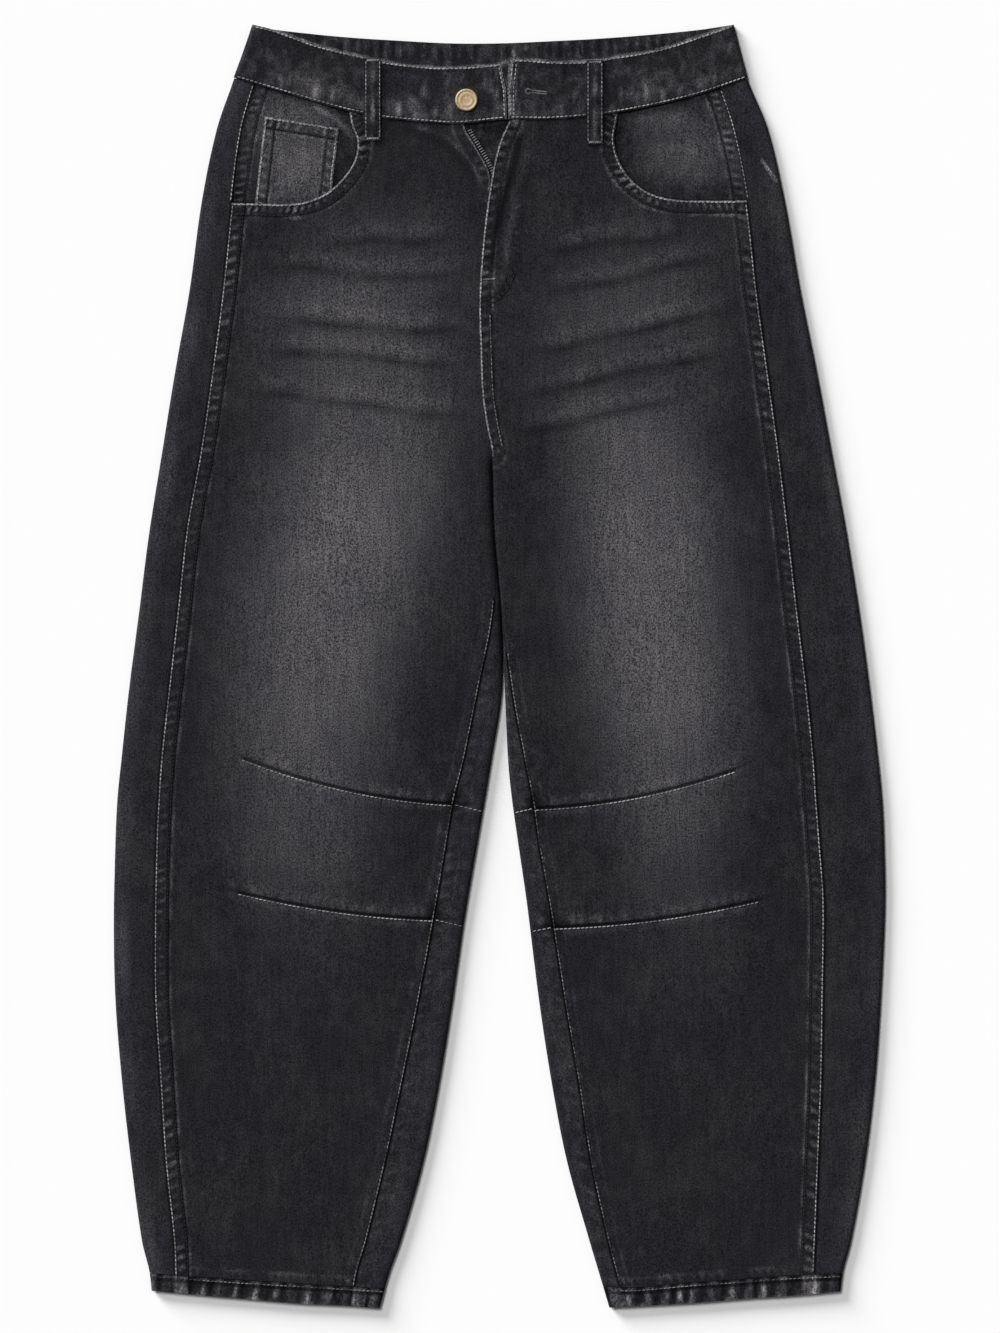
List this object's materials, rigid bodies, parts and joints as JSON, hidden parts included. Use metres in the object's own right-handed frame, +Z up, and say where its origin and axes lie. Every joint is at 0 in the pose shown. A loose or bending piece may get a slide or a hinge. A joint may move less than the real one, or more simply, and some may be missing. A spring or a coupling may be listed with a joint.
{
  "type": "barrel leg trousers",
  "caption": "High-waisted barrel leg denim trousers laid flat with the front up: curved full legs that narrow to the hem, knee darts, curved pocket mouths, open fly and shank button.",
  "frame": {"origin": "bottom centre of the bounding box: on the surface the trousers lie on, midway between their sides and between the waistband's corners and the lowest hem corner", "axes": "+Y runs up the trousers from the hems to the waist, +X points to the wearer's left (the picture's right), +Z points up out of the laid-out front"},
  "size_m": [0.5975, 0.994, 0.0098],
  "materials": {
    "denim_front": "charcoal washed cotton twill, faded pale over the thighs and knees, with soft whisker creases",
    "denim_back": "charcoal washed cotton twill, nearly unfaded",
    "denim_waistband": "charcoal washed cotton twill, doubled, worn pale along its edges",
    "denim_pocket": "charcoal washed cotton twill, faded grey in the middle",
    "denim_hem": "charcoal washed cotton twill, turned up, with rope-like puckers worn pale",
    "denim_inside": "dark unfaded cotton twill behind the fly",
    "zip": "dark woven zip tape with grey metal teeth",
    "thread": "pale grey and near-black polyester sewing thread",
    "button_metal": "pale brushed brass with a plain raised ring"
  },
  "bodies": {
    "root": {"front_right": "denim_front", "front_left": "denim_front", "back_right": "denim_back", "back_left": "denim_back", "waistband": "denim_waistband", "belt_loop_right": "denim_waistband", "belt_loop_left": "denim_waistband", "pocket_facing_right": "denim_pocket", "pocket_facing_left": "denim_pocket", "coin_pocket": "denim_pocket", "hem_right": "denim_hem", "hem_left": "denim_hem", "fly_shield": "denim_inside", "zip_tape": "zip", "button": "button_metal"}
  },
  "joints": []
}
